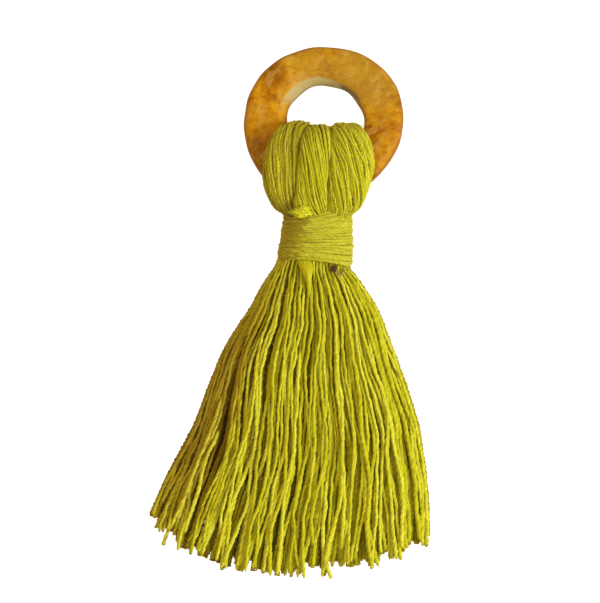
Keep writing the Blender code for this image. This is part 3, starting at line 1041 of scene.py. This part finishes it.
# With no twist there are no grooves, so this yarn is smooth and evenly lime.
flat_yarn = yarn("untwisted_cotton_lime", "#C0B80A", "#CEC812", "#DAD62A", 0.2)
lay_yarn(
    "flattened_fibres", broad, flat_yarn,
    radius=0.24 * MM, ply_waist=0.0, kink_size=0.35 * MM, kink_length=2.5 * MM,
)

rng = Random(23)
tangle = []
for k in range(SNAG_POINTS):
    turn = 2.4 * k + rng.uniform(-0.6, 0.6)
    reach = rng.uniform(0.1, 0.75) * MM
    flat = Vector((cos(turn) * reach, sin(turn) * reach, rng.uniform(-0.35, 0.1) * MM))
    tangle.append(SNAG_MIDDLE + flat)

# A brown sewing thread, and pale fibres grey with dust: the only two that aren't lime.
dark_thread = yarn("snagged_dark_thread", "#4A2C20", "#62402E", "#8A6A50", 0.1)
lay_yarn(
    "snagged_thread", [Line(tangle, [1.0] * SNAG_POINTS, 0.3)], dark_thread,
    radius=0.12 * MM, step=0.2 * MM, ply_waist=0.0, kink_size=0.3 * MM, kink_length=1.0 * MM,
)
pale = []
for k in range(PALE_FIBRES):
    start = SNAG_MIDDLE + Vector((rng.uniform(0.2, 1.6), rng.uniform(-1.5, -0.3), 0.25)) * MM
    points = []
    for j in range(5):
        drift = Vector((0.5 * j * rng.uniform(-0.2, 1.0), 0.35 * j * rng.uniform(-1, 1), 0.1 * j))
        points.append(start + drift * MM)
    pale.append(Line(points, [1.0] * 5, rng.random()))
pale_thread = yarn("snagged_pale_fibres", "#8A7A38", "#9E8A48", "#BCA870", 0.1)
lay_yarn(
    "snagged_fibres", pale, pale_thread,
    radius=0.055 * MM, sides=4, step=0.2 * MM, ply_waist=0.0, kink_size=0.5 * MM, kink_length=0.8 * MM,
)


# ---- Fuzz ----------------------------------------------------------------------------------------
# Soft cotton yarn is never clean: fine fibres stand off every strand, and the twist opens at each
# cut end into a little brush.

FIBRE_RADIUS = 0.020 * MM
FUZZ_SIZES = {
    "Density": 220000.0,
    "Length": 1.3 * MM,
    "Radius": FIBRE_RADIUS,
    "Curl": 0.9 * MM,
    "Seed": 0,
    "Material": None,
}
BRUSHES_PER_END = 2
BRUSH_STEP = 0.30 * MM
BRUSH_ROOT = 0.9 * MM
BRUSH_SPREAD = 0.2 * MM


def fuzz_tree():
    """Bent three-sided fibres on a yarn's upper faces, at random points, so many a square metre."""
    tree, given = new_tree("fuzz", FUZZ_SIZES)
    node = partial(add, tree)
    facing = node("GeometryNodeInputNormal")
    up = node("SeparateXYZ", {"Vector": facing}).outputs["Z"]
    upper = node("Math", (up, -0.2), operation="GREATER_THAN")
    spots = node(
        "GeometryNodeDistributePointsOnFaces",
        {"Mesh": given["Geometry"], "Selection": upper, "Density": given["Density"], "Seed": given["Seed"]},
    )
    tip = node("CombineXYZ", {"Z": given["Length"]})
    stem = node("GeometryNodeCurvePrimitiveLine", {"End": tip})
    jointed = node("GeometryNodeResampleCurve", {"Curve": stem, "Count": 6}, mode="COUNT")
    factor = node("GeometryNodeSplineParameter").outputs["Factor"]
    marked = node(
        "GeometryNodeStoreNamedAttribute",
        {"Geometry": jointed, "Name": "outwards", "Value": factor},
        data_type="FLOAT",
    )
    section = node("GeometryNodeCurvePrimitiveCircle", {"Resolution": 3, "Radius": given["Radius"]})
    fibre = node("GeometryNodeCurveToMesh", {"Curve": marked, "Profile Curve": section})
    longer = node(
        "FunctionNodeRandomValue",
        {"Min_001": 0.4, "Max_001": 1.2, "Seed": given["Seed"]},
        data_type="FLOAT",
    )
    placed = node(
        "GeometryNodeInstanceOnPoints",
        {"Points": spots, "Instance": fibre, "Rotation": spots.outputs["Rotation"], "Scale": longer},
    )
    lean = node(
        "FunctionNodeRandomValue",
        {"Min": (1.2, 0.0, 0.0), "Max": (1.65, 0.0, tau), "Seed": given["Seed"]},
        data_type="FLOAT_VECTOR",
    )
    leaning = node("GeometryNodeRotateInstances", {"Instances": placed, "Rotation": lean})
    loose = node("GeometryNodeRealizeInstances", {"Geometry": leaning})
    place = node("GeometryNodeInputPosition")
    bend = node("TexNoise", {"Vector": place, "Scale": 1 / (1.1 * MM), "Detail": 1.0})
    outwards = node("GeometryNodeInputNamedAttribute", {"Name": "outwards"}, data_type="FLOAT")
    amount = node("Math", (outwards, given["Curl"]), operation="MULTIPLY")
    curl = sway(tree, bend, amount)
    curled = node("GeometryNodeSetPosition", {"Geometry": loose, "Offset": curl})
    end_tree(tree, curled, given["Material"])
    return tree


def fibre_material():
    """Single cotton fibres: pale and matt, so they stand out softly against the darker grooves."""
    material, tree, shader = new_material("loose_cotton_fibres_lime")
    place = add(tree, "TexCoord").outputs["Object"]
    tone = add(tree, "TexNoise", {"Vector": place, "Scale": 1 / (3 * MM), "Detail": 2.0})
    dyed = add(
        tree, "ValToRGB", {"Fac": tone}, stops=((0.3, "#BFB628"), (0.55, "#D2CB46"), (0.8, "#E2DC78"))
    )
    plug(tree, shader, {"Base Color": dyed, "Roughness": 0.8, "Specular IOR Level": 0.2})
    return material


fibres = fibre_material()
FUZZ = fuzz_tree()
for name, under, slot_name, seed in (
    ("head_fuzz", ("head_lock_left", "head_lock_middle", "head_lock_right"), "hank_yarn", 3),
    ("skirt_fuzz", ("skirt_upper_yarn",), "hank_yarn", 5),
    ("binding_fuzz", ("neck_binding_turns", "binding_tuft"), "binding_yarn", 7),
):
    joined = bmesh.new()
    for piece in under:
        joined.from_mesh(bpy.data.objects[piece].data)
    surface = bpy.data.meshes.new(name + "_surface")
    joined.to_mesh(surface)
    joined.free()
    fuzz = grown(name, surface, FUZZ, {**FUZZ_SIZES, "Seed": seed, "Material": fibres}, FIBRE_RADIUS)
    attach(fuzz, "root")

rng = Random(41)
brushes = []
for line in [line for layer in LAYERS for line in layers[layer.name]]:
    end = line.points[-1]
    way = (end - line.points[-2]).normalized()
    for _ in range(BRUSHES_PER_END):
        side = Vector([rng.uniform(-1, 1) for _ in range(3)])
        points = [end + side * BRUSH_SPREAD - way * BRUSH_ROOT]
        for j in range(3):
            side = side + Vector([rng.uniform(-0.6, 0.6) for _ in range(3)])
            points.append(points[-1] + (way * rng.uniform(0.5, 1.0) + side * 0.25) * BRUSH_STEP)
        for point in points:
            point.z = max(point.z, 0.1 * MM)
        brushes.append(Line(points, [1.2, 1.2, 0.9, 0.4], rng.random()))
lay_yarn(
    "skirt_end_brushes", brushes, lime_yarn,
    radius=0.10 * MM, sides=4, step=0.45 * MM, ply_waist=0.0, kink_size=0.1 * MM, kink_length=1.5 * MM,
)


# ---- The floor, light and camera -----------------------------------------------------------------
# A plain pale floor, evenly lit. The tassel is lit by a broad soft light from the right, weaker ones
# from overhead and the left, and warm light from all round. The camera looks straight down on it.

FLOOR_HALF = 1.5
WARM_AIR = (1.0, 0.74, 0.40, 1.0)
PALE_BACKDROP = (1.55, 1.55, 1.55, 1.0)

# Each lamp's direction, distance in metres, colour, width in metres and power in watts.
LAMPS = (
    ("key", (0.76, -0.06, 0.60), 0.9, (0.94, 1.0, 0.90), 0.42, 7.8),
    ("overhead", (-0.05, 0.05, 1.0), 0.9, (0.96, 1.0, 0.90), 0.4, 2.0),
    ("warm_fill", (-0.9, -0.05, 0.45), 0.7, (1.0, 0.48, 0.10), 0.4, 0.42),
)
floor_mesh = bpy.data.meshes.new("floor")
corners = [(x * FLOOR_HALF, y * FLOOR_HALF, 0) for x, y in ((-1, -1), (1, -1), (1, 1), (-1, 1))]
floor_mesh.from_pydata(corners, [], [(0, 1, 2, 3)])
floor = new_piece("floor", floor_mesh)

# Matt white card: an even, pale ground with no shine.
floor_material, floor_tree, floor_shader = new_material("matt_white_card")
card = {"Base Color": linear("#F7F7F7"), "Roughness": 0.95, "Specular IOR Level": 0.1}
plug(floor_tree, floor_shader, card)
floor.data.materials.append(floor_material)
floor.visible_diffuse = False

world = bpy.data.worlds.new("studio")
world.use_nodes = True
seen = add(world.node_tree, "LightPath").outputs["Is Camera Ray"]
backdrop = add(
    world.node_tree,
    "Mix",
    {"Factor_Float": seen, "A_Color": WARM_AIR, "B_Color": PALE_BACKDROP},
    data_type="RGBA",
)
plug(world.node_tree, world.node_tree.nodes["Background"], {"Color": backdrop, "Strength": 0.62})
bpy.context.scene.world = world


def lamp_for(name, kind, direction, distance, colour, pieces, **settings):
    """A lamp that shines from this direction, on these pieces only."""
    light = bpy.data.lights.new(name, kind)
    light.color = colour
    for setting, value in settings.items():
        setattr(light, setting, value)
    lamp = bpy.data.objects.new(name, light)
    towards = Vector(direction).normalized()
    lamp.location = towards * distance
    lamp.rotation_euler = towards.to_track_quat("Z", "Y").to_euler()
    bpy.context.scene.collection.objects.link(lamp)
    lit = bpy.data.collections.new(name + "_lights")
    for piece in pieces:
        lit.objects.link(piece)
    lamp.light_linking.receiver_collection = lit
    lamp.light_linking.blocker_collection = lit


tassel = [piece for piece in bpy.context.scene.objects if piece.type == "MESH" and piece != floor]
for name, direction, distance, colour, size, energy in LAMPS:
    lamp_for(name, "AREA", direction, distance, colour, tassel, shape="DISK", size=size, energy=energy)
lamp_for("floor_wash", "SUN", (0, 0, 1), 1.0, (1.0, 1.0, 1.0), [floor], energy=3.1, angle=radians(5))

VIEW_MIDDLE = Vector((-3.6 * MM, -12.7 * MM, 4.0 * MM))
VIEW_HEIGHT = 0.1206
CAMERA_DISTANCE = 0.7
camera = bpy.data.cameras.new("camera")
camera.sensor_width = 36.0
camera.lens = camera.sensor_width * CAMERA_DISTANCE / VIEW_HEIGHT
camera.clip_end = 20.0
looking = bpy.data.objects.new("camera", camera)
looking.location = VIEW_MIDDLE + Vector((0, 0, CAMERA_DISTANCE))
bpy.context.scene.collection.objects.link(looking)
bpy.context.scene.camera = looking
bpy.context.scene.view_settings.view_transform = "Standard"
